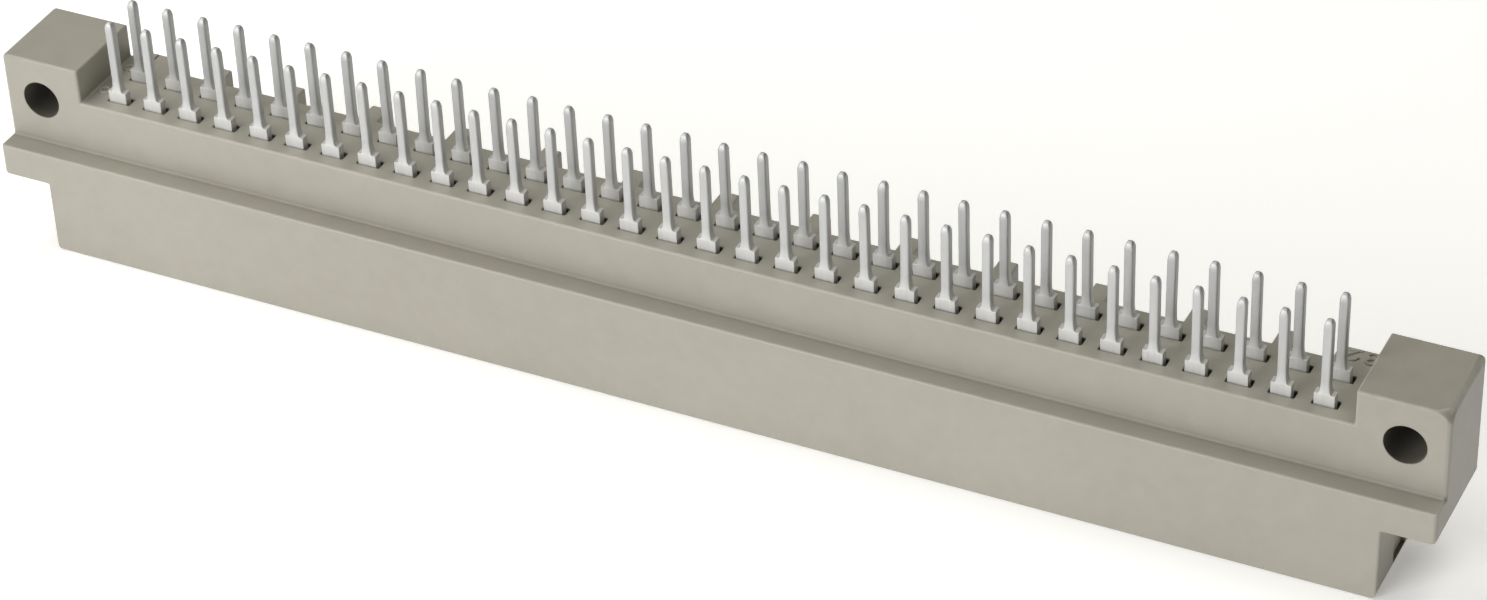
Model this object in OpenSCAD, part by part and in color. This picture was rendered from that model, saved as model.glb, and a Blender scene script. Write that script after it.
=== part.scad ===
// Two-row pin connector, two rows of 32 contacts in one moulded housing.
// X runs along the rows, Y across them, Z up along the pins.
// Origin: middle of the length and of the depth, on the plane of the mating rim.

/* [Contacts] */
// Distance between neighbouring contacts in a row
pitch = 2.54; // [2.5:0.01:2.54]
// Distance between the two rows
row_gap = 2.54; // [2.5:0.01:2.6]
// Side of the square pin, also the thickness of the whole contact
pin_w = 0.56; // [0.5:0.01:0.58]
// Height of the pin tips above the mating rim
pin_top = 16.55; // [15:0.05:18]
// Width of the shoulder plate
plate_w = 1.24; // [1.1:0.02:1.3]
// Height that the shoulder plate shows above the pin face
plate_up = 0.75; // [0.4:0.05:1]
// Width of the mating blade
blade_w = 1.0; // [0.8:0.02:1]
// Height of the blade tips above the mating rim
blade_tip = 0.55; // [0.4:0.05:1.5]

/* [Housing lengths along X] */
// Overall length over the end flanges
length_all = 94; // [93.6:0.1:95]
// Length of the shroud below the flanges
length_shroud = 87.6; // [87:0.1:89]
// Length between the inner faces of the ears
length_between_ears = 83; // [82.8:0.1:83.4]
// Length of the mating cavity
length_cavity = 85; // [84:0.1:85.4]
// Distance between the two ear holes
hole_pitch = 88.9; // [88.5:0.1:89.2]
// Diameter of the ear holes
hole_d = 2.5; // [2:0.1:3]

/* [Housing depths along Y] */
// Overall depth of the shroud and the lower block
depth_all = 8.4; // [8.2:0.1:8.8]
// Shift of the rows behind the middle of the depth (negative is forward)
row_shift = -0.2; // [-0.3:0.05:0]
// Front face of the upper body, from the rows' midplane
upper_front = -2.54; // [-2.7:0.02:-2.3]
// Back face of the upper body, from the rows' midplane
upper_back = 2.85; // [2.4:0.05:3]
// Back face of the ears and flanges, from the rows' midplane
ear_back = 3.4; // [3.2:0.05:3.8]
// Width of the mating cavity
cavity_w = 6; // [5.8:0.1:6.2]

/* [Housing heights along Z] */
// Underside of the end flanges
flange_under = 4.93; // [4.5:0.01:5.5]
// Ledge on top of the lower block
ledge_z = 7.1; // [6.9:0.1:7.4]
// Face that the pins come out of
pin_face_z = 10.7; // [10.2:0.1:11]
// Top of the ears, where the board rests
ear_top_z = 13.03; // [12.5:0.01:13.5]
// Height of the ear holes' axis
hole_z = 10.19; // [10:0.01:10.5]
// Depth of the mating cavity, from the rim to its floor
cavity_deep = 6; // [5.5:0.1:6.2]

/* [Ribs and recesses] */
// Width of a rear rib
rib_w = 1.2; // [1:0.1:1.6]
// Distance between neighbouring rear ribs
rib_step = 6; // [5.8:0.1:6]
// Position of the last rear rib
rib_last = 35.3; // [35:0.1:35.6]
// Length of the plain pad beside each ear
pad_l = 3.2; // [3:0.1:3.4]
// Width of the shallow recess in each end wall of the shroud
recess_w = 2.3; // [1.8:0.1:2.6]

/* [Hidden] */
// One round count for every true arc.
arc = 48;
// A little more than nothing, so that cuts run clear through a face.
eps = 0.01;
// Contacts in one row.
positions = 32;
half_y = depth_all / 2;
y_front = row_shift + upper_front;
y_back = row_shift + upper_back;
y_ear = row_shift + ear_back;
// The shoulder plate sits on a step inside its slot.
step_z = 8.5;
plate_top = pin_face_z + plate_up;
// Flare where the pin runs out into the shoulder plate: its width and height.
foot_x = 0.12;
foot_z = 0.55;
// Slot round the shoulder plate: a hairline in front, wider gaps on the other sides.
slot_left = 0.75;
slot_right = 0.82;
slot_front = 0.33;
slot_back = 0.41;
// Narrow hole for the root of the contact.
hole_x = 1.04;
hole_y = 0.60;
// Chamfer at the mouth of the cavity.
lead = 0.45;
// Soft fillet between the ledge and the upper body.
fillet_r = 0.3;
// Corner radii: shroud rim, flange underside, ear tops.
r_rim = 0.6;
r_flange = 0.3;
r_ear = 0.4;

// Centre of position n (1 to 32) along X, and of row s (-1 front, 1 back) along Y.
function pos_x(n) = (n - (positions + 1) / 2) * pitch;
function row_y(s) = row_shift + s * row_gap / 2;

// Plate in the XZ plane, drawn as a 2-D outline (x, z) and given a depth y0 to y1.
module xz_plate(y0, y1) {
    translate([0, y1, 0]) rotate([90, 0, 0]) linear_extrude(height = y1 - y0) children();
}

// Bar along X, drawn as a 2-D outline (y, z), from x0 to x1.
module x_bar(x0, x1) {
    translate([x0, 0, 0]) rotate([90, 0, 90]) linear_extrude(height = x1 - x0) children();
}

// Rectangle x0..x1 by z0..z1 with true round corners: r at the bottom two, q at the top two.
module round_rect(x0, x1, z0, z1, r, q) {
    difference() {
        translate([x0, z0]) square([x1 - x0, z1 - z0]);
        if (r > 0) {
            corner_cut(x0, z0, 1, 1, r);
            corner_cut(x1, z0, -1, 1, r);
        }
        if (q > 0) {
            corner_cut(x0, z1, 1, -1, q);
            corner_cut(x1, z1, -1, -1, q);
        }
    }
}

// What a corner at (x, z) loses when it is rounded; sx and sz point into the shape.
module corner_cut(x, z, sx, sz, r) {
    difference() {
        translate([min(x - sx * eps, x + sx * r), min(z - sz * eps, z + sz * r)])
            square([r + eps, r + eps]);
        translate([x + sx * r, z + sz * r]) circle(r = r, $fn = arc);
    }
}

// Shroud and lower block, and the flange that runs on past it at both ends.
module lower_block() {
    hs = length_shroud / 2;
    hl = length_all / 2;
    xz_plate(-half_y, half_y)
        round_rect(-hs, hs, 0, ledge_z, r_rim, 0);
    xz_plate(-half_y, y_ear)
        round_rect(-hl, hl, flange_under, ledge_z, r_flange, 0);
}

// Raised bar that the pins come out of.
module upper_body() {
    hl = length_all / 2;
    translate([-hl + 0.5, y_front, ledge_z - 0.5])
        cube([length_all - 1, y_back - y_front, pin_face_z - ledge_z + 0.5]);
}

// Soft fillet along the foot of the upper body, on the ledge side.
module ledge_fillet() {
    x_bar(-length_all / 2, length_all / 2)
        difference() {
            translate([y_front - fillet_r, ledge_z - 0.1])
                square([fillet_r + 0.1, fillet_r + 0.1]);
            translate([y_front - fillet_r, ledge_z + fillet_r]) circle(r = fillet_r, $fn = arc);
        }
}

// End ear, s = -1 left, 1 right, with its outer top edge rounded.
module ear(s) {
    xi = length_between_ears / 2;
    xo = length_all / 2;
    xz_plate(y_front, y_ear)
        difference() {
            translate([s > 0 ? xi : -xo, ledge_z - 0.5])
                square([xo - xi, ear_top_z - ledge_z + 0.5]);
            corner_cut(s * xo, ear_top_z, -s, -1, r_ear);
        }
}

// Rear ribs from the ledge up to the pin face.
module rear_ribs() {
    centres = concat([for (k = [-5 : 5]) k * rib_step], [-rib_last, rib_last]);
    for (x = centres)
        translate([x - rib_w / 2, y_back - 0.2, ledge_z - 0.2])
            cube([rib_w, half_y - y_back + 0.2, pin_face_z - ledge_z + 0.2]);
}

// Plain pads beside the ears, level with the pin face.
module end_pads() {
    xi = length_between_ears / 2;
    for (s = [-1, 1])
        translate([s > 0 ? xi - pad_l : -xi - 0.2, y_back - 0.2, ledge_z - 0.2])
            cube([pad_l + 0.2, half_y - 0.2 - y_back + 0.2, pin_face_z - ledge_z + 0.2]);
}

// Mating cavity with a chamfer all round its mouth, mitred at the corners.
module mating_cavity() {
    hx = length_cavity / 2;
    hy = cavity_w / 2;
    translate([-hx, row_shift - hy, -1]) cube([length_cavity, cavity_w, cavity_deep + 1]);
    intersection() {
        xz_plate(-10, 10)
            polygon([[-hx - lead - 1, -1], [hx + lead + 1, -1], [hx, lead], [-hx, lead]]);
        x_bar(-50, 50)
            polygon([[row_shift - hy - lead * 2 / 3 - 2 / 3, -1], [row_shift + hy + lead * 2 / 3 + 2 / 3, -1],
                [row_shift + hy, lead], [row_shift - hy, lead]]);
    }
}

// Slot for one shoulder plate, with the narrow hole under it for the root.
module contact_slot() {
    translate([-slot_left, -slot_front, step_z])
        cube([slot_left + slot_right, slot_front + slot_back, pin_face_z - step_z + 1]);
    translate([-hole_x / 2, -hole_y / 2, cavity_deep - 0.5])
        cube([hole_x, hole_y, step_z - cavity_deep + 1]);
}

// Shallow recess in an end wall of the shroud, deepest near the rim.
module end_recess(s) {
    hs = length_shroud / 2;
    xz_plate(row_shift - recess_w / 2, row_shift + recess_w / 2)
        polygon([[s * (hs + 1), 0.35], [s * (hs - 0.3), 0.35], [s * (hs - 0.1), flange_under - 0.1],
            [s * (hs + 1), flange_under - 0.1]]);
}

module housing() {
    color([0.70, 0.69, 0.63])
    difference() {
        union() {
            lower_block();
            upper_body();
            ledge_fillet();
            ear(-1);
            ear(1);
            rear_ribs();
            end_pads();
        }
        mating_cavity();
        for (s = [-1, 1]) {
            // Cross hole through the ear, along Y.
            translate([s * hole_pitch / 2, half_y + 1, hole_z])
                rotate([90, 0, 0]) cylinder(d = hole_d, h = depth_all + 2, $fn = 96);
            end_recess(s);
        }
        for (n = [1 : positions], s = [-1, 1])
            translate([pos_x(n), row_y(s), 0]) contact_slot();
    }
}

// Tall narrow arc where the pin flares out into the top of the shoulder plate.
function foot_arc() = [for (a = [0 : 15 : 90])
    [pin_w / 2 + foot_x * (1 - cos(a)), plate_top + foot_z * (1 - sin(a))]];

// Outline of a contact from the front: pin, shoulder plate, barbed root, blade.
function contact_right() = concat(
    [[0.12, pin_top], [0.2, pin_top - 0.13], [pin_w / 2, pin_top - 0.48]],
    foot_arc(),
    [[plate_w / 2 - 0.05, plate_top], [plate_w / 2, plate_top - 0.05],
    [plate_w / 2, step_z], [blade_w / 2, step_z],
    [blade_w / 2, 8.0], [hole_x / 2, 7.8], [hole_x / 2, 7.5], [blade_w / 2, 7.2],
    [blade_w / 2, blade_tip + 0.9], [0.16, blade_tip]]);

// Half outline of a contact from the side: flat, with both tips thinned.
function contact_back() = [
    [0.12, pin_top], [0.2, pin_top - 0.13], [pin_w / 2, pin_top - 0.48],
    [pin_w / 2, blade_tip + 0.7], [0.11, blade_tip]];

function both_sides(p) = concat(p, [for (i = [len(p) - 1 : -1 : 0]) [-p[i][0], p[i][1]]]);

// One stamped contact standing on the row line.
module contact() {
    intersection() {
        xz_plate(-1, 1) polygon(both_sides(contact_right()));
        x_bar(-1, 1) polygon(both_sides(contact_back()));
    }
}

// The two contacts of position n, one in each row.
module contact_pair(n) {
    color([0.78, 0.78, 0.78])
        for (s = [-1, 1]) translate([pos_x(n), row_y(s), 0]) contact();
}

housing();
contact_pair(1);  // contact_pair_01
contact_pair(2);  // contact_pair_02
contact_pair(3);  // contact_pair_03
contact_pair(4);  // contact_pair_04
contact_pair(5);  // contact_pair_05
contact_pair(6);  // contact_pair_06
contact_pair(7);  // contact_pair_07
contact_pair(8);  // contact_pair_08
contact_pair(9);  // contact_pair_09
contact_pair(10);  // contact_pair_10
contact_pair(11);  // contact_pair_11
contact_pair(12);  // contact_pair_12
contact_pair(13);  // contact_pair_13
contact_pair(14);  // contact_pair_14
contact_pair(15);  // contact_pair_15
contact_pair(16);  // contact_pair_16
contact_pair(17);  // contact_pair_17
contact_pair(18);  // contact_pair_18
contact_pair(19);  // contact_pair_19
contact_pair(20);  // contact_pair_20
contact_pair(21);  // contact_pair_21
contact_pair(22);  // contact_pair_22
contact_pair(23);  // contact_pair_23
contact_pair(24);  // contact_pair_24
contact_pair(25);  // contact_pair_25
contact_pair(26);  // contact_pair_26
contact_pair(27);  // contact_pair_27
contact_pair(28);  // contact_pair_28
contact_pair(29);  // contact_pair_29
contact_pair(30);  // contact_pair_30
contact_pair(31);  // contact_pair_31
contact_pair(32);  // contact_pair_32
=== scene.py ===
import math
import random

import bmesh
import bpy
from mathutils import Matrix, Vector


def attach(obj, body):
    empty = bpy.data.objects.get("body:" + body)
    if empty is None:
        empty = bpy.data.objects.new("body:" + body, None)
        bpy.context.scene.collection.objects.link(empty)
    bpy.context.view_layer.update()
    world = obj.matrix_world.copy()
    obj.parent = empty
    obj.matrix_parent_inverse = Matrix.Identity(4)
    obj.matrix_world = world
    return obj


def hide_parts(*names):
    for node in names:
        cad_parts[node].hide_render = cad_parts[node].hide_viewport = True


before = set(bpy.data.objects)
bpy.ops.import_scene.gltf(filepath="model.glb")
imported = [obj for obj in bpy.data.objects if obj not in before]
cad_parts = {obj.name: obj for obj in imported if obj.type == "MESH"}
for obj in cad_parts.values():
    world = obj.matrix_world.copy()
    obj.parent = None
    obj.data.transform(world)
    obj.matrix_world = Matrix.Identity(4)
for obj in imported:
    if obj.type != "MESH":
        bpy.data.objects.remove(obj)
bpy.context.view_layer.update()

scene = bpy.context.scene
MM = 0.001
rnd = random.Random(64)

# ----------------------------------------------------------------- the object's own numbers, in mm
PITCH = 2.54
POSITIONS = 32
ROW_SHIFT = -0.2                    # the rows' midplane in the row frame
ROWS = (ROW_SHIFT - 1.27, ROW_SHIFT + 1.27)
X_END, X_SHROUD, X_EAR, X_CAV = 47.0, 43.8, 41.5, 42.5
Y_F, Y_B = -4.2, 4.2                # lower block and shroud
Y_UF, Y_UB = ROW_SHIFT - 2.54, ROW_SHIFT + 2.85
Y_EB = ROW_SHIFT + 3.4              # back of ears and flanges
Y_PAD = 4.0
Z_FL, Z_LEDGE, Z_FACE, Z_EAR, Z_TIP = 4.93, 7.1, 10.7, 13.03, 16.55
Z_STEP, Z_CAV = 8.5, 6.0
HOLE_X, HOLE_Z, HOLE_R = 44.45, 10.19, 1.25
RIBS = [k * 6.0 for k in range(-5, 6)] + [-35.3, 35.3]
RIB_W = 1.2
SLOT_L, SLOT_R, SLOT_F, SLOT_B = 0.75, 0.82, 0.33, 0.41
HOLE_WX, HOLE_WY = 1.04, 0.60
PLATE_TOP, PLATE_HX = 11.45, 0.62


def pos_x(n):
    return (n - (POSITIONS + 1) / 2) * PITCH


# ----------------------------------------------------------------- camera: the photograph's view
cam_data = bpy.data.cameras.new("photo_view")
cam_data.sensor_fit = "HORIZONTAL"
cam_data.sensor_width = 36.0
cam_data.lens = 106.031
cam_data.clip_start = 0.01
cam_data.clip_end = 10.0
cam = bpy.data.objects.new("photo_view", cam_data)
scene.collection.objects.link(cam)
right = Vector((0.90062608, 0.43323486, -0.03435445))
up = Vector((-0.22962563, 0.54148629, 0.80874265))
back = Vector((0.36897797, -0.72048606, 0.5871585))
m = Matrix((right, up, back)).transposed().to_4x4()
m.translation = Vector((98.577, -187.2469, 158.9363)) * MM
cam.matrix_world = m
scene.camera = cam

# ----------------------------------------------------------------- light and floor
scene.view_settings.view_transform = "Standard"
world = bpy.data.worlds.new("studio")
scene.world = world
world.use_nodes = True
bg = world.node_tree.nodes["Background"]
bg.inputs["Color"].default_value = (1.0, 0.995, 0.98, 1)
bg.inputs["Strength"].default_value = 0.01


def softbox(name, azimuth, elevation, distance, size, strength, colour=(1, 1, 1)):
    """A square soft light: azimuth 0 is the front (-Y), 90 the left (-X); it faces the object's middle."""
    data = bpy.data.lights.new(name, "AREA")
    data.shape = "SQUARE"
    data.size = size
    data.energy = strength * 40 * distance ** 2
    data.color = colour
    ob = bpy.data.objects.new(name, data)
    scene.collection.objects.link(ob)
    a, e = math.radians(azimuth), math.radians(elevation)
    target = Vector((0, 0, 0.008))
    ob.location = target + Vector((-math.sin(a) * math.cos(e), -math.cos(a) * math.cos(e), math.sin(e))) * distance
    ob.rotation_euler = (target - ob.location).to_track_quat("-Z", "Y").to_euler()
    return ob


softbox("front_low", 24, 8, 0.60, 0.40, 0.146, (0.95, 0.965, 1.0))
softbox("front_high", 20, 25, 0.60, 0.40, 0.131, (0.98, 0.98, 1.0))
softbox("top_left", 75, 55, 0.25, 0.12, 0.101, (1.0, 1.0, 0.96))
softbox("high_right", -140, 68, 0.60, 0.30, 0.075, (1.0, 0.985, 0.93))
softbox("back_left", 135, 55, 0.60, 0.30, 0.030)

floor_bm = bmesh.new()
bmesh.ops.create_grid(floor_bm, x_segments=1, y_segments=1, size=3.0)
floor_mesh = bpy.data.meshes.new("floor")
floor_bm.to_mesh(floor_mesh)
floor_bm.free()
floor = bpy.data.objects.new("floor", floor_mesh)
scene.collection.objects.link(floor)


# ----------------------------------------------------------------- materials
def new_material(name):
    mat = bpy.data.materials.new(name)
    mat.use_nodes = True
    nt = mat.node_tree
    bsdf = nt.nodes["Principled BSDF"]
    return mat, nt, bsdf


def add(nt, kind, **values):
    node = nt.nodes.new(kind)
    for k, v in values.items():
        setattr(node, k, v)
    return node


def ramp(nt, stops):
    node = nt.nodes.new("ShaderNodeValToRGB")
    el = node.color_ramp.elements
    while len(el) > 1:
        el.remove(el[-1])
    el[0].position, el[0].color = stops[0][0], (*stops[0][1], 1)
    for p, c in stops[1:]:
        e = el.new(p)
        e.color = (*c, 1)
    return node


def noise(nt, coord, scale, detail=4.0, rough=0.5, squeeze=None):
    n = nt.nodes.new("ShaderNodeTexNoise")
    n.inputs["Scale"].default_value = scale
    n.inputs["Detail"].default_value = detail
    n.inputs["Roughness"].default_value = rough
    if squeeze:
        mp = nt.nodes.new("ShaderNodeMapping")
        mp.inputs["Scale"].default_value = squeeze
        nt.links.new(coord, mp.inputs["Vector"])
        coord = mp.outputs["Vector"]
    nt.links.new(coord, n.inputs["Vector"])
    return n


def to_range(nt, value, lo, hi, from_lo=0.3, from_hi=0.7):
    r = nt.nodes.new("ShaderNodeMapRange")
    r.inputs["From Min"].default_value = from_lo
    r.inputs["From Max"].default_value = from_hi
    r.inputs["To Min"].default_value = lo
    r.inputs["To Max"].default_value = hi
    nt.links.new(value, r.inputs["Value"])
    return r


def bump(nt, height, strength, distance, before=None):
    b = nt.nodes.new("ShaderNodeBump")
    b.inputs["Strength"].default_value = strength
    b.inputs["Distance"].default_value = distance
    nt.links.new(height, b.inputs["Height"])
    if before is not None:
        nt.links.new(before, b.inputs["Normal"])
    return b


def calc(nt, operation, a, b=None):
    """One math node; a and b are sockets or numbers."""
    node = add(nt, "ShaderNodeMath", operation=operation)
    for socket, value in zip(node.inputs, (a, b)):
        if value is None:
            continue
        if isinstance(value, (int, float)):
            socket.default_value = value
        else:
            nt.links.new(value, socket)
    return node.outputs[0]


def deep_shade_mask(nt, coord):
    """Mask of painted shade: 1 inside the contact slots and the ears' cross holes, 0 on every other surface (object
    coordinates, metres).
    """
    xyz = nt.nodes.new("ShaderNodeSeparateXYZ")
    nt.links.new(coord, xyz.inputs["Vector"])
    x, y, z = xyz.outputs
    hx = calc(nt, "SUBTRACT", calc(nt, "ABSOLUTE", x), HOLE_X * MM)
    hz = calc(nt, "SUBTRACT", z, HOLE_Z * MM)
    dist = calc(nt, "SQRT", calc(nt, "ADD", calc(nt, "MULTIPLY", hx, hx), calc(nt, "MULTIPLY", hz, hz)))
    hole = to_range(nt, dist, 0.0, 0.80, (HOLE_R + 0.06) * MM, (HOLE_R + 0.01) * MM).outputs["Result"]
    off = calc(nt, "ABSOLUTE", calc(nt, "SUBTRACT", y, (ROW_SHIFT + 0.04) * MM))
    within = to_range(nt, calc(nt, "ABSOLUTE", x), 0.0, 1.0, 40.6 * MM, 40.4 * MM).outputs["Result"]
    inside = calc(nt, "MULTIPLY", within, to_range(nt, off, 0.0, 1.0, 1.9 * MM, 1.8 * MM).outputs["Result"])
    below = to_range(nt, z, 0.0, 1.0, (Z_FACE - 0.02) * MM, (Z_FACE - 0.18) * MM).outputs["Result"]
    above = to_range(nt, z, 0.0, 1.0, (Z_CAV + 0.02) * MM, (Z_CAV + 0.3) * MM).outputs["Result"]
    slot = calc(nt, "MULTIPLY", calc(nt, "MULTIPLY", inside, below), above)
    return calc(nt, "MAXIMUM", hole, slot)


def rubbed_and_highlit_edges(nt, coord):
    """Up to 1 along the ears' and flanges' outer edges, pale partly from rubbed skin and partly as a painted
    highlight.
    """
    xyz = nt.nodes.new("ShaderNodeSeparateXYZ")
    nt.links.new(coord, xyz.inputs["Vector"])
    x, y, z = xyz.outputs
    out = calc(nt, "ABSOLUTE", x)
    end = calc(nt, "SUBTRACT", out, (X_END - 0.24) * MM)
    over = calc(nt, "MINIMUM", calc(nt, "SUBTRACT", out, (X_END - 0.30) * MM), calc(nt, "SUBTRACT", z, (Z_EAR - 0.30) * MM))
    over = to_range(nt, over, 0.0, 1.0, 0.02 * MM, 0.21 * MM).outputs["Result"]
    ear = calc(nt, "MINIMUM", end, calc(nt, "SUBTRACT", (Y_UF + 0.24) * MM, y))
    ear = to_range(nt, ear, 0.0, 0.30, 0.02 * MM, 0.16 * MM).outputs["Result"]
    ear = calc(nt, "MULTIPLY", ear, to_range(nt, z, 0.0, 1.0, (Z_LEDGE + 0.05) * MM, (Z_LEDGE + 0.30) * MM).outputs["Result"])
    flange = calc(nt, "MINIMUM", end, calc(nt, "SUBTRACT", (Y_F + 0.24) * MM, y))
    flange = to_range(nt, flange, 0.0, 0.25, 0.02 * MM, 0.16 * MM).outputs["Result"]
    shelf = calc(nt, "MINIMUM", calc(nt, "SUBTRACT", out, (X_END - 0.13) * MM), calc(nt, "SUBTRACT", z, (Z_LEDGE - 0.13) * MM))
    shelf = to_range(nt, shelf, 0.0, 0.8, 0.01 * MM, 0.08 * MM).outputs["Result"]
    shelf = calc(nt, "MULTIPLY", shelf, to_range(nt, y, 0.0, 1.0, (Y_UF - 0.02) * MM, (Y_UF - 0.12) * MM).outputs["Result"])
    flange = calc(nt, "MAXIMUM", flange, shelf)
    patchy = to_range(nt, noise(nt, coord, 1300.0, 3.0, 0.6).outputs["Fac"], 0.55, 1.0).outputs["Result"]
    return calc(nt, "MULTIPLY", patchy, calc(nt, "MAXIMUM", over, calc(nt, "MAXIMUM", ear, flange)))


def ledge_corner_shade(nt, coord):
    """Up to 1 in the long inner corner above the front ledge, where painted shade darkens the colour and the surface
    is made rougher with weaker specular (object coordinates, metres).
    """
    xyz = nt.nodes.new("ShaderNodeSeparateXYZ")
    nt.links.new(coord, xyz.inputs["Vector"])
    x, y, z = xyz.outputs
    dy = calc(nt, "SUBTRACT", y, Y_UF * MM)
    dz = calc(nt, "SUBTRACT", z, Z_LEDGE * MM)
    dist = calc(nt, "SQRT", calc(nt, "ADD", calc(nt, "MULTIPLY", dy, dy), calc(nt, "MULTIPLY", dz, dz)))
    return to_range(nt, dist, 0.0, 1.0, 0.36 * MM, 0.15 * MM).outputs["Result"]


def plastic_material():
    mat, nt, bsdf = new_material("housing_plastic")
    coord = nt.nodes.new("ShaderNodeTexCoord").outputs["Object"]
    cloud = noise(nt, coord, 70.0, 3.0, 0.55)             # slow cloudiness of the moulding, about 14 mm
    grain = noise(nt, coord, 900.0, 5.0, 0.6)             # mottling, about 1 mm
    fibre = noise(nt, coord, 2600.0, 3.0, 0.6, (0.12, 1.0, 1.0))   # flow lines of the glass fibres, along X
    mix = add(nt, "ShaderNodeMix", data_type="FLOAT")
    mix.inputs[0].default_value = 0.45
    nt.links.new(cloud.outputs["Fac"], mix.inputs[2])
    nt.links.new(grain.outputs["Fac"], mix.inputs[3])
    colour = ramp(nt, [(0.30, (0.294, 0.276, 0.228)), (0.50, (0.316, 0.298, 0.248)), (0.70, (0.338, 0.321, 0.270))])
    nt.links.new(mix.outputs[0], colour.inputs["Fac"])
    # painted shade: a near-black colour deep inside the slots and the ear holes, standing in for the shade there
    deep_shade = deep_shade_mask(nt, coord)
    deep_shade_mix = add(nt, "ShaderNodeMix", data_type="RGBA")
    deep_shade_mix.inputs[7].default_value = (0.070, 0.063, 0.050, 1)
    nt.links.new(deep_shade, deep_shade_mix.inputs[0])
    nt.links.new(colour.outputs["Color"], deep_shade_mix.inputs[6])
    # painted shade: a slightly darker colour in the inner corner above the front ledge
    corner_shade_mix = add(nt, "ShaderNodeMix", data_type="RGBA")
    corner_shade_mix.inputs[7].default_value = (0.170, 0.158, 0.124, 1)
    corner = ledge_corner_shade(nt, coord)
    nt.links.new(calc(nt, "MULTIPLY", corner, 0.12), corner_shade_mix.inputs[0])
    nt.links.new(deep_shade_mix.outputs[2], corner_shade_mix.inputs[6])
    # pale convex edges: partly rubbed wear, partly a painted highlight
    worn_and_highlit = add(nt, "ShaderNodeMix", data_type="RGBA")
    worn_and_highlit.inputs[7].default_value = (0.580, 0.565, 0.500, 1)
    nt.links.new(rubbed_and_highlit_edges(nt, coord), worn_and_highlit.inputs[0])
    nt.links.new(corner_shade_mix.outputs[2], worn_and_highlit.inputs[6])
    nt.links.new(worn_and_highlit.outputs[2], bsdf.inputs["Base Color"])
    rough = to_range(nt, grain.outputs["Fac"], 0.36, 0.46)
    nt.links.new(calc(nt, "MAXIMUM", rough.outputs["Result"], calc(nt, "MULTIPLY", corner, 0.75)), bsdf.inputs["Roughness"])
    nt.links.new(to_range(nt, corner, 0.5, 0.15, 0.0, 1.0).outputs["Result"], bsdf.inputs["Specular IOR Level"])
    bsdf.inputs["IOR"].default_value = 1.5
    b1 = bump(nt, grain.outputs["Fac"], 0.25, 0.00002)
    b2 = bump(nt, fibre.outputs["Fac"], 0.25, 0.000008, b1.outputs["Normal"])
    nt.links.new(b2.outputs["Normal"], bsdf.inputs["Normal"])
    return mat


def tin_material():
    mat, nt, bsdf = new_material("contact_metal")
    coord = nt.nodes.new("ShaderNodeTexCoord").outputs["Object"]
    draw = noise(nt, coord, 5200.0, 4.0, 0.6, (1.0, 1.0, 0.05))   # drawing marks along the pin
    patch = noise(nt, coord, 420.0, 4.0, 0.6)                     # plating patches
    mix = add(nt, "ShaderNodeMix", data_type="FLOAT")
    mix.inputs[0].default_value = 0.5
    nt.links.new(draw.outputs["Fac"], mix.inputs[2])
    nt.links.new(patch.outputs["Fac"], mix.inputs[3])
    # the coined plates are brighter than the drawn pins
    plates = ramp(nt, [(0.30, (0.57, 0.568, 0.545)), (0.50, (0.63, 0.627, 0.602)), (0.70, (0.69, 0.685, 0.66))])
    pins = ramp(nt, [(0.30, (0.41, 0.41, 0.40)), (0.50, (0.455, 0.455, 0.445)), (0.70, (0.50, 0.50, 0.49))])
    nt.links.new(mix.outputs[0], plates.inputs["Fac"])
    nt.links.new(mix.outputs[0], pins.inputs["Fac"])
    xyz = nt.nodes.new("ShaderNodeSeparateXYZ")
    nt.links.new(coord, xyz.inputs["Vector"])
    rise = to_range(nt, xyz.outputs[2], 0.0, 1.0, (PLATE_TOP - 0.1) * MM, (PLATE_TOP + 0.9) * MM)
    blend = add(nt, "ShaderNodeMix", data_type="RGBA")
    nt.links.new(rise.outputs["Result"], blend.inputs[0])
    nt.links.new(plates.outputs["Color"], blend.inputs[6])
    nt.links.new(pins.outputs["Color"], blend.inputs[7])
    nt.links.new(blend.outputs[2], bsdf.inputs["Base Color"])
    bsdf.inputs["Metallic"].default_value = 0.45
    rough = to_range(nt, mix.outputs[0], 0.44, 0.56)
    nt.links.new(rough.outputs["Result"], bsdf.inputs["Roughness"])
    b1 = bump(nt, draw.outputs["Fac"], 0.3, 0.000006)
    b2 = bump(nt, patch.outputs["Fac"], 0.25, 0.00002, b1.outputs["Normal"])
    nt.links.new(b2.outputs["Normal"], bsdf.inputs["Normal"])
    return mat


def floor_material():
    mat, nt, bsdf = new_material("pale_floor")
    coord = nt.nodes.new("ShaderNodeTexCoord").outputs["Object"]
    n = noise(nt, coord, 3.0, 2.0, 0.5)
    colour = ramp(nt, [(0.3, (0.90, 0.90, 0.895)), (0.7, (0.92, 0.92, 0.915))])
    nt.links.new(n.outputs["Fac"], colour.inputs["Fac"])
    nt.links.new(colour.outputs["Color"], bsdf.inputs["Base Color"])
    bsdf.inputs["Roughness"].default_value = 0.9
    bsdf.inputs["Specular IOR Level"].default_value = 0.1
    # a little light of its own, as on a lit white sweep
    bsdf.inputs["Emission Color"].default_value = (1, 0.985, 0.94, 1)
    bsdf.inputs["Emission Strength"].default_value = 0.295
    return mat


PLASTIC = plastic_material()
TIN = tin_material()
floor.data.materials.append(floor_material())


# ----------------------------------------------------------------- mesh helpers
def as_object(name, bm, material=None):
    """A bmesh in mm becomes an object still in mm; to_metres() ends its making."""
    me = bpy.data.meshes.new(name)
    bm.to_mesh(me)
    bm.free()
    ob = bpy.data.objects.new(name, me)
    scene.collection.objects.link(ob)
    if material:
        me.materials.append(material)
    return ob


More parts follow.
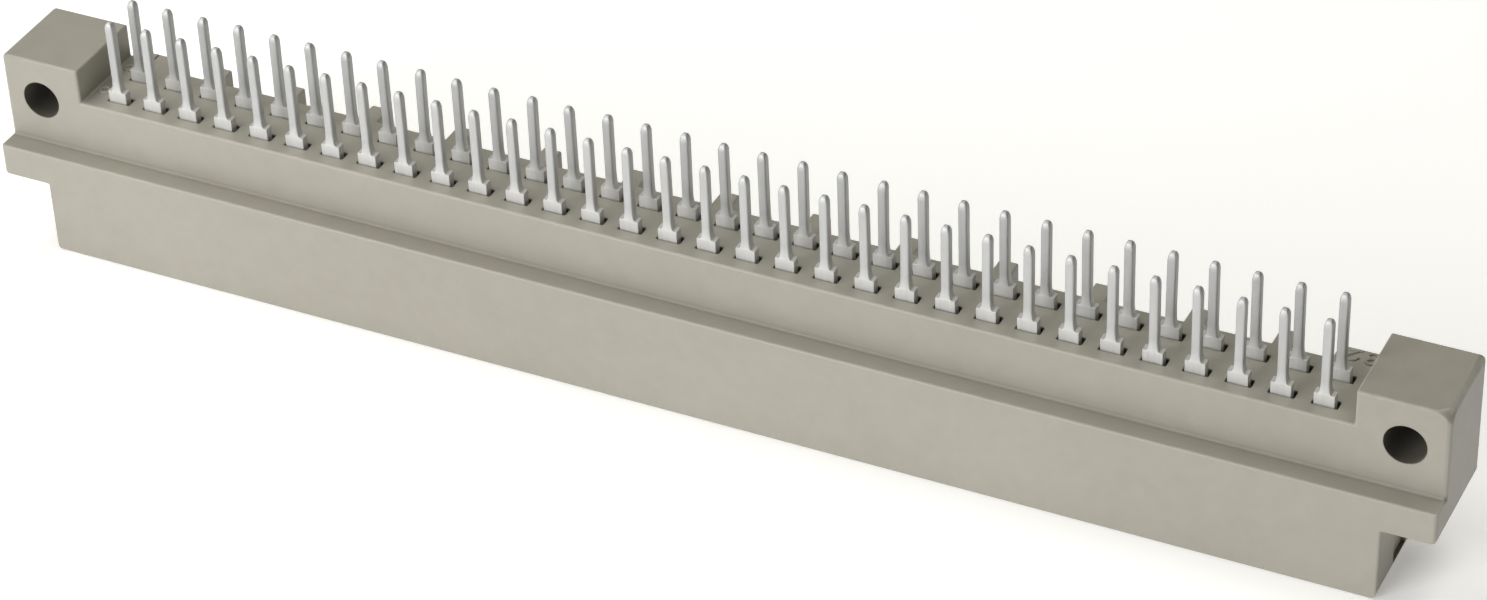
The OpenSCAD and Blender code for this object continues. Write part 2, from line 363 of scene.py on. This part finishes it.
def applied(ob):
    """Replaces the object's mesh by what its modifiers make of it."""
    dg = bpy.context.evaluated_depsgraph_get()
    me = bpy.data.meshes.new_from_object(ob.evaluated_get(dg), depsgraph=dg)
    old = ob.data
    ob.modifiers.clear()
    ob.data = me
    bpy.data.meshes.remove(old)
    return ob


def boolean(ob, cutter, operation="DIFFERENCE"):
    md = ob.modifiers.new("cut", "BOOLEAN")
    md.operation = operation
    md.solver = "EXACT"
    md.object = cutter
    applied(ob)
    bpy.data.objects.remove(cutter)
    return ob


def to_metres(ob):
    ob.data.transform(Matrix.Scale(MM, 4))
    ob.data.update()
    return ob


def shade(ob, angle=34.0, weighted=True):
    """Smooth faces, with edges sharper than angle kept crisp."""
    bm = bmesh.new()
    bm.from_mesh(ob.data)
    limit = math.radians(angle)
    for f in bm.faces:
        f.smooth = True
    for e in bm.edges:
        e.smooth = len(e.link_faces) == 2 and e.calc_face_angle(0.0) < limit
    bm.to_mesh(ob.data)
    bm.free()
    if weighted:
        md = ob.modifiers.new("normals", "WEIGHTED_NORMAL")
        md.keep_sharp = True
        md.weight = 100
    return ob


def ring_shell(bm, rings, close=True):
    """A closed shell from rings of equal count, first and last ring capped."""
    levels = [[bm.verts.new(p) for p in ring] for ring in rings]
    n = len(levels[0])
    for a, b in zip(levels, levels[1:]):
        for i in range(n):
            j = (i + 1) % n
            bm.faces.new((a[i], a[j], b[j], b[i]))
    if close:
        bm.faces.new(list(reversed(levels[0])))
        bm.faces.new(levels[-1])
    return levels


def round_rect_ring(cx, cy, z, hx, hy, r, seg=3):
    """Corner-rounded rectangle in plan, counter-clockwise."""
    r = max(min(r, hx * 0.98, hy * 0.98), 1e-4)
    pts = []
    for qx, qy, a0 in ((1, 1, 0), (-1, 1, 90), (-1, -1, 180), (1, -1, 270)):
        for k in range(seg + 1):
            a = math.radians(a0 + 90 * k / seg)
            pts.append((cx + qx * (hx - r) + r * math.cos(a), cy + qy * (hy - r) + r * math.sin(a), z))
    return pts


def cell_solid(boxes):
    """The union of axis-parallel boxes as one clean closed mesh with merged flat faces."""
    xs = sorted({v for b in boxes for v in b[0:2]})
    ys = sorted({v for b in boxes for v in b[2:4]})
    zs = sorted({v for b in boxes for v in b[4:6]})
    nx, ny, nz = len(xs) - 1, len(ys) - 1, len(zs) - 1
    full = set()
    for x0, x1, y0, y1, z0, z1 in boxes:
        for i in range(nx):
            if xs[i] >= x0 - 1e-9 and xs[i + 1] <= x1 + 1e-9:
                for j in range(ny):
                    if ys[j] >= y0 - 1e-9 and ys[j + 1] <= y1 + 1e-9:
                        for k in range(nz):
                            if zs[k] >= z0 - 1e-9 and zs[k + 1] <= z1 + 1e-9:
                                full.add((i, j, k))
    bm = bmesh.new()
    verts = {}

    def v(i, j, k):
        if (i, j, k) not in verts:
            verts[i, j, k] = bm.verts.new((xs[i], ys[j], zs[k]))
        return verts[i, j, k]

    for i, j, k in full:
        if (i - 1, j, k) not in full:
            bm.faces.new((v(i, j, k), v(i, j, k + 1), v(i, j + 1, k + 1), v(i, j + 1, k)))
        if (i + 1, j, k) not in full:
            bm.faces.new((v(i + 1, j, k), v(i + 1, j + 1, k), v(i + 1, j + 1, k + 1), v(i + 1, j, k + 1)))
        if (i, j - 1, k) not in full:
            bm.faces.new((v(i, j, k), v(i + 1, j, k), v(i + 1, j, k + 1), v(i, j, k + 1)))
        if (i, j + 1, k) not in full:
            bm.faces.new((v(i, j + 1, k), v(i, j + 1, k + 1), v(i + 1, j + 1, k + 1), v(i + 1, j + 1, k)))
        if (i, j, k - 1) not in full:
            bm.faces.new((v(i, j, k), v(i, j + 1, k), v(i + 1, j + 1, k), v(i + 1, j, k)))
        if (i, j, k + 1) not in full:
            bm.faces.new((v(i, j, k + 1), v(i + 1, j, k + 1), v(i + 1, j + 1, k + 1), v(i, j + 1, k + 1)))
    bmesh.ops.recalc_face_normals(bm, faces=bm.faces)
    bmesh.ops.dissolve_limit(bm, angle_limit=math.radians(1), verts=bm.verts[:], edges=bm.edges[:])
    return bm


# ----------------------------------------------------------------- housing
def near(a, b, tol=0.02):
    return abs(a - b) < tol


def housing_radius(mid, d, convex):
    """Radius in mm for the edge with this middle, direction and sense."""
    ax = max(range(3), key=lambda i: abs(d[i]))
    x, y, z = mid
    if y > 3.9 and 38.0 < abs(x) < 41.6:        # the pads' narrow step at the back
        return 0.07
    if not convex:
        if ax == 0 and near(y, Y_UF) and near(z, Z_LEDGE):
            return 0.14
        if ax == 1 and near(abs(x), X_SHROUD) and near(z, Z_FL):
            return 0.22
        return 0.12
    if ax == 1:
        if near(abs(x), X_SHROUD) and z < 0.1:
            return 0.60
        if near(abs(x), X_END) and near(z, Z_FL):
            return 0.32
        if near(abs(x), X_END) and near(z, Z_EAR):
            return 0.34
        if near(abs(x), X_EAR) and near(z, Z_EAR):
            return 0.14
        return 0.12
    if ax == 0:
        if near(y, Y_F) and near(z, Z_LEDGE):
            return 0.16
        if near(y, Y_UF) and near(z, Z_FACE):
            return 0.17
        if near(z, Z_EAR):
            return 0.16
        if z < 0.1:
            return 0.14
        return 0.12
    if near(abs(x), X_EAR) and near(y, Y_UF):
        return 0.18
    if near(abs(x), X_END):
        return 0.26 if x > 0 and y < 0 else 0.22
    if near(abs(x), X_SHROUD):
        return 0.18
    return 0.10


def build_housing():
    boxes = [
        (-X_SHROUD, X_SHROUD, Y_F, Y_B, 0, Z_LEDGE),
        (-X_END, X_END, Y_F, Y_EB, Z_FL, Z_LEDGE),
        (-X_EAR, X_EAR, Y_UF, Y_UB, Z_LEDGE, Z_FACE),
        (-X_END, -X_EAR, Y_UF, Y_EB, Z_LEDGE, Z_EAR),
        (X_EAR, X_END, Y_UF, Y_EB, Z_LEDGE, Z_EAR),
        (-X_EAR, -38.3, Y_UB, Y_PAD, Z_LEDGE, Z_FACE),
        (38.3, X_EAR, Y_UB, Y_PAD, Z_LEDGE, Z_FACE),
    ] + [(x - RIB_W / 2, x + RIB_W / 2, Y_UB, Y_B, Z_LEDGE, Z_FACE) for x in RIBS]
    bm = cell_solid(boxes)
    weight = bm.edges.layers.float.new("bevel_weight_edge")
    for e in bm.edges:
        a, b = e.verts[0].co, e.verts[1].co
        if e.calc_face_angle(0.0) > 0.1:
            e[weight] = housing_radius((a + b) / 2, b - a, e.is_convex) / 0.6
    ob = as_object("housing_moulding", bm, PLASTIC)
    md = ob.modifiers.new("round", "BEVEL")
    md.limit_method = "WEIGHT"
    md.width = 0.6
    md.segments = 4
    md.profile = 0.5
    md.miter_outer = "MITER_SHARP"
    md.use_clamp_overlap = False
    applied(ob)

    # the right ear is worn: its outer corner is chipped at the front, and its front top edge is uneven
    bm = bmesh.new()
    rings = []
    for y, r in ((Y_UF - 0.4, 2.1), (Y_UF - 0.02, 1.46), (Y_UF + 0.02, 1.26), (Y_UF + 0.06, 1.14), (Y_UF + 0.12, 1.03),
                 (Y_UF + 0.20, 0.92), (Y_UF + 0.30, 0.78), (Y_UF + 0.42, 0.62), (Y_UF + 0.56, 0.49), (Y_UF + 0.75, 0.39),
                 (Y_UF + 1.1, 0.33), (Y_UF + 3.4, 0.32), (Y_UF + 4.8, 0.42), (Y_EB + 0.3, 0.50)):
        cx, cz = X_END - r, Z_EAR - r
        arc = [(cx + r * math.sin(a), y, cz + r * math.cos(a)) for a in (math.pi / 2 * k / 10 for k in range(11))]
        e = 0.6
        rings.append(arc + [(X_END + e, y, cz), (X_END + e, y, Z_EAR + e), (cx, y, Z_EAR + e)])
    ring_shell(bm, rings)
    bmesh.ops.recalc_face_normals(bm, faces=bm.faces)
    boolean(ob, as_object("cut_corner", bm))
    bm = bmesh.new()
    rings = []
    n_st = 64
    for i in range(n_st + 1):
        x = X_EAR - 0.3 + (X_END + 0.5 - X_EAR) * i / n_st
        c = 0.16 - 0.012 * (x - X_EAR) + 0.045 * math.sin(2.1 * x) + 0.03 * math.sin(5.3 * x + 1.0) + rnd.uniform(-0.02, 0.02)
        e = 0.5
        arc = [(x, Y_UF + c - c * math.sin(a), Z_EAR - c + c * math.cos(a)) for a in (math.pi / 2 * k / 4 for k in range(5))]
        rings.append(arc + [(x, Y_UF - e, Z_EAR - c), (x, Y_UF - e, Z_EAR + e), (x, Y_UF + c, Z_EAR + e)])
    ring_shell(bm, rings)
    bmesh.ops.recalc_face_normals(bm, faces=bm.faces)
    boolean(ob, as_object("cut_edge", bm))

    # mating cavity, with a lead-in round its mouth and a small radius in its corners
    bm = bmesh.new()
    hx, hy = X_CAV, 3.0
    ring_shell(bm, [round_rect_ring(0, ROW_SHIFT, z, hx + g, hy + g * 0.67, 0.25 + g)
                    for z, g in ((-0.5, 0.75), (0.0, 0.47), (0.06, 0.42), (0.42, 0.03), (0.50, 0.0), (Z_CAV, 0.0))])
    boolean(ob, as_object("cut_cavity", bm))

    # narrow holes for the contact roots, with a small lead-in at the cavity floor
    bm = bmesh.new()
    for n in range(1, POSITIONS + 1):
        for y in ROWS:
            ring_shell(bm, [round_rect_ring(pos_x(n), y, z, HOLE_WX / 2 + g, HOLE_WY / 2 + g, 0.05 + g)
                            for z, g in ((Z_CAV - 0.3, 0.35), (Z_CAV + 0.12, 0.0), (Z_STEP + 0.2, 0.0))])
    boolean(ob, as_object("cut_roots", bm))

    # slots round the shoulder plates, with a soft lip at the pin face
    bm = bmesh.new()
    for n in range(1, POSITIONS + 1):
        for y in ROWS:
            cx, cy = pos_x(n) + (SLOT_R - SLOT_L) / 2, y + (SLOT_B - SLOT_F) / 2
            hx, hy = (SLOT_L + SLOT_R) / 2, (SLOT_B + SLOT_F) / 2
            ring_shell(bm, [round_rect_ring(cx, cy, z, hx + g, hy + g, 0.07 + g)
                            for z, g in ((Z_STEP, 0.0), (Z_FACE - 0.05, 0.0), (Z_FACE - 0.018, 0.008),
                                         (Z_FACE, 0.030), (Z_FACE + 0.2, 0.20))])
    boolean(ob, as_object("cut_slots", bm))

    # cross holes through the ears, their rims slightly broken
    bm = bmesh.new()
    for s in (-1, 1):
        rings = []
        for y, g in ((Y_UF - 0.2, 0.24), (Y_UF, 0.04), (Y_UF + 0.015, 0.018), (Y_UF + 0.05, 0.0),
                     (Y_EB - 0.05, 0.0), (Y_EB - 0.015, 0.018), (Y_EB, 0.04), (Y_EB + 0.2, 0.24)):
            rings.append([(s * HOLE_X + (HOLE_R + g) * math.cos(a), y, HOLE_Z + (HOLE_R + g) * math.sin(a))
                          for a in (math.tau * k / 64 for k in range(64))])
        ring_shell(bm, rings)
    bmesh.ops.recalc_face_normals(bm, faces=bm.faces)
    boolean(ob, as_object("cut_ears", bm))

    # shallow recess in each end wall of the shroud, deepest near the rim
    bm = bmesh.new()
    for s in (-1, 1):
        y0, y1 = ROW_SHIFT - 1.15, ROW_SHIFT + 1.15
        prof = [(s * (X_SHROUD + 1), 0.35), (s * (X_SHROUD - 0.30), 0.35), (s * (X_SHROUD - 0.10), Z_FL - 0.25),
                (s * (X_SHROUD + 1), Z_FL - 0.25)]
        ring_shell(bm, [[(x, y0, z) for x, z in prof], [(x, y1, z) for x, z in prof]])
    bmesh.ops.recalc_face_normals(bm, faces=bm.faces)
    boolean(ob, as_object("cut_recess", bm))
    # raised position numbers on the end pads, read from behind, and a small ring mark beside each row's first contact
    for stroke in digit_strokes():
        boolean(ob, stroke, "UNION")
    for x, y in ((-40.87, -0.86), (-40.77, 1.90)):
        boolean(ob, ring_mark(x, y), "UNION")
    return ob


def polyline_ridge(name, pts, half, z0, z1):
    """A raised line through plan points: mitred ribbon with sloped sides and a flat top."""
    bm = bmesh.new()
    p = smooth_line([Vector(q) for q in pts]) if len(pts) > 3 else [Vector(q) for q in pts]
    rings = []
    for i, q in enumerate(p):
        a = (q - p[i - 1]).normalized() if i else (p[1] - q).normalized()
        b = (p[i + 1] - q).normalized() if i + 1 < len(p) else a
        t = (a + b).normalized()
        nrm = Vector((-t.y, t.x))
        k = 1.0 / max(0.5, t.dot(b))
        if i == 0:
            q = q - t * half
        if i + 1 == len(p):
            q = q + t * half
        rings.append([(q.x + nrm.x * s * k, q.y + nrm.y * s * k, z) for s, z in
                      ((half, z0), (half, z1 - 0.04), (half * 0.65, z1), (-half * 0.65, z1), (-half, z1 - 0.04), (-half, z0))])
    ring_shell(bm, rings)
    bmesh.ops.recalc_face_normals(bm, faces=bm.faces)
    return as_object(name, bm)


def smooth_line(p, n=4):
    """Catmull-Rom points through p."""
    q = [p[0]] + p + [p[-1]]
    out = []
    for i in range(1, len(q) - 2):
        a, b, c, d = q[i - 1:i + 3]
        for k in range(n):
            t = k / n
            out.append(0.5 * (2 * b + (c - a) * t + (2 * a - 5 * b + 4 * c - d) * t * t + (3 * b - a - 3 * c + d) * t ** 3))
    return out + [p[-1]]


def digit_strokes():
    """3 and 2 on the right pad, 1 on the left, drawn in a cell 0.8 wide and 1.1 tall, upright for a viewer behind."""
    z0, z1, half = Z_FACE - 0.15, Z_FACE + 0.11, 0.085
    two = [(0.02, 0.80), (0.12, 0.98), (0.32, 1.05), (0.55, 1.02), (0.68, 0.84), (0.64, 0.66), (0.44, 0.42), (0.10, 0.06)]
    two_base = [(0.04, 0.04), (0.74, 0.04)]
    three = [(0.04, 0.90), (0.20, 1.04), (0.44, 1.04), (0.60, 0.88), (0.56, 0.68), (0.36, 0.58), (0.58, 0.46),
             (0.66, 0.26), (0.50, 0.07), (0.24, 0.04), (0.05, 0.18)]
    one = [(0.20, 0.84), (0.40, 1.03), (0.40, 0.04)]
    out = []
    for name, x_left, pts, low in (("d3", 40.78, three, 0), ("d2", 39.66, two, 0), ("d2b", 39.66, two_base, 0.012),
                                   ("d1", -39.55, one, 0)):
        # seen from behind, left is +X and up is -Y
        out.append(polyline_ridge(name, [(x_left - px, Y_PAD - 0.20 - py * 0.96) for px, py in pts], half + low, z0 - low, z1 - low))
    return out


def ring_mark(x, y):
    bm = bmesh.new()
    rings = []
    prof = [(0.40, -0.15), (0.40, 0.07), (0.34, 0.11), (0.26, 0.11), (0.20, 0.07), (0.20, -0.15)]
    for k in range(20):
        a = math.tau * k / 20
        rings.append([(x + r * math.cos(a), y + r * 0.95 * math.sin(a), Z_FACE + z) for r, z in prof])
    levels = [[bm.verts.new(q) for q in ring] for ring in rings]
    for i in range(20):
        a, b = levels[i], levels[(i + 1) % 20]
        for j in range(6):
            bm.faces.new((a[j], a[(j + 1) % 6], b[(j + 1) % 6], b[j]))
    bmesh.ops.recalc_face_normals(bm, faces=bm.faces)
    return as_object("mark", bm)


housing = build_housing()
to_metres(housing)
shade(housing)
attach(housing, "root")
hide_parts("housing")


# ----------------------------------------------------------------- contacts
def contact_rings(cx, cy, lean, apex, lift, twist):
    """Rings of one contact from blade tip to pin tip: flat stamping with rounded edges and a domed pin tip."""
    t = 0.28                         # half the thickness of the strip, and of the square pin
    p, w = PLATE_TOP, PLATE_HX
    sec = [                          # z, half width, half thickness, corner radius
        (0.55, 0.14, 0.10, 0.06), (0.62, 0.24, 0.15, 0.08), (0.90, 0.36, 0.22, 0.10), (1.25, 0.46, 0.27, 0.10),
        (1.55, 0.50, t, 0.09), (7.20, 0.50, t, 0.06), (7.50, 0.518, t, 0.04), (7.80, 0.518, t, 0.04),
        (8.00, 0.50, t, 0.05), (8.48, 0.50, t, 0.05), (8.50, w - 0.02, t, 0.04), (8.53, w, t, 0.035),
        (p - 0.030, w, t, 0.035), (p - 0.008, w - 0.006, t, 0.035), (p, w - 0.024, t, 0.035),
        # flat shoulder top, then the pin, which flares out into it
        (p + 0.0006, 0.432, t, 0.035), (p + 0.010, 0.400, t, 0.036), (p + 0.032, 0.372, t, 0.038),
        (p + 0.070, 0.348, t, 0.042), (p + 0.130, 0.326, t, 0.050), (p + 0.22, 0.308, t, 0.060),
        (p + 0.36, 0.294, t, 0.078), (p + 0.55, 0.284, t, 0.100), (p + 0.80, t, t, 0.118),
    ]
    dome = [(0.60, 0.280, 0.118), (0.53, 0.280, 0.114), (0.49, 0.278, 0.108), (0.43, 0.273, 0.100), (0.35, 0.262, 0.092),
            (0.27, 0.246, 0.085), (0.20, 0.226, 0.080), (0.14, 0.202, 0.076), (0.095, 0.179, 0.072), (0.060, 0.152, 0.066),
            (0.035, 0.122, 0.058), (0.017, 0.090, 0.048), (0.006, 0.054, 0.034), (0.001, 0.022, 0.016)]
    sec += [(Z_TIP - d, h, h, r) for d, h, r in dome]
    rings = []
    for z, hx, hy, r in sec:
        k = max(0.0, z - PLATE_TOP)
        dx, dy = lean[0] * k, lean[1] * k
        up_share = max(0.0, (z - (Z_TIP - 0.66)) / 0.66)
        dx += apex[0] * up_share
        dy += apex[1] * up_share
        zz = z + (lift * min(1.0, k / 3.0))
        ring = round_rect_ring(0, 0, zz, hx, hy, r)
        c, s = math.cos(twist * min(1.0, k)), math.sin(twist * min(1.0, k))
        rings.append([(cx + dx + x * c - y * s, cy + dy + x * s + y * c, zq) for x, y, zq in ring])
    return rings


def build_pair(n):
    bm = bmesh.new()
    for y in ROWS:
        lean = (rnd.uniform(-0.006, 0.006), rnd.uniform(-0.006, 0.006))
        apex = (rnd.uniform(-0.03, 0.03), rnd.uniform(-0.03, 0.03))
        lift = rnd.uniform(-0.09, -0.045) if y < 0 else rnd.uniform(-0.026, 0.0)    # the front row's pins are a little shorter
        twist = math.radians(rnd.uniform(-1.5, 1.5))
        ring_shell(bm, contact_rings(pos_x(n), y, lean, apex, lift, twist))
    ob = as_object("contacts_%02d" % n, bm, TIN)
    to_metres(ob)
    shade(ob, 40.0)
    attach(ob, "root")
    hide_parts("contact_pair_%02d" % n)
    return ob


for n in range(1, POSITIONS + 1):
    build_pair(n)
